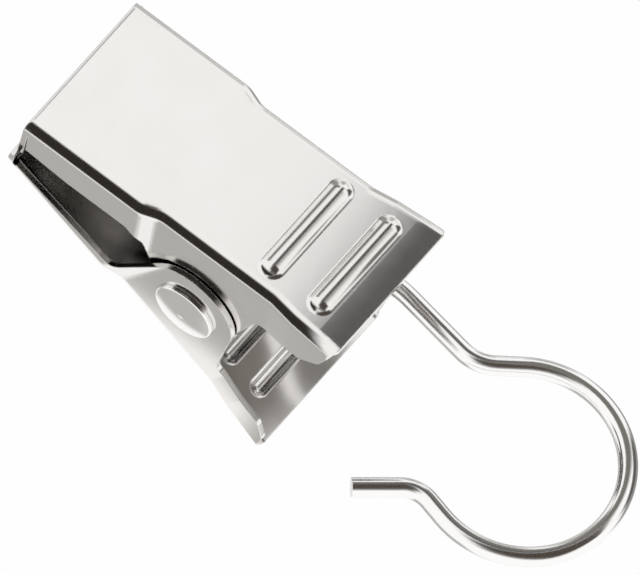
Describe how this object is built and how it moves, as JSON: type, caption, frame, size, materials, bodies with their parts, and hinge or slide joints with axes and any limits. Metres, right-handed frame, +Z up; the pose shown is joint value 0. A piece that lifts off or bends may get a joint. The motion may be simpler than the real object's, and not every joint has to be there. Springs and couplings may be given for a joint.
{
  "type": "curtain clip hook",
  "caption": "Sprung sheet-metal clip with toothless lips and ribbed handles, riveted to an open wire hook that hangs a curtain from a rod or ring.",
  "frame": {"origin": "centre of the hook's loop", "axes": "+Z up from the clip to the loop, X along the rivet, the plane of the hook is XZ, -Y towards the steeper jaw"},
  "size_m": [0.0181, 0.0201, 0.0492],
  "materials": {
    "jaw_plate": "polished nickel plate",
    "rivet_metal": "polished nickel plate",
    "spring_wire": "drawn spring steel",
    "hook_wire": "polished nickel plate"
  },
  "bodies": {
    "hook": {"hook": "hook_wire"},
    "outer_jaw": {"back_jaw": "jaw_plate", "rivet": "rivet_metal", "torsion_spring": "spring_wire"},
    "inner_jaw": {"front_jaw": "jaw_plate"}
  },
  "joints": [
    {"name": "clip_swing", "type": "hinge", "parent": "hook", "child": "outer_jaw", "pos_m": [0, 0, -0.0252], "axis": [-1, 0, 0], "range_deg": [-45, 8]},
    {"name": "jaw_open", "type": "hinge", "parent": "outer_jaw", "child": "inner_jaw", "pos_m": [0, 0, -0.0252], "axis": [-1, 0, 0], "range_deg": [0, 24], "stiffness_Nm_per_rad": 0.03, "springref_deg": -45.84, "deforming": ["torsion_spring"]}
  ]
}
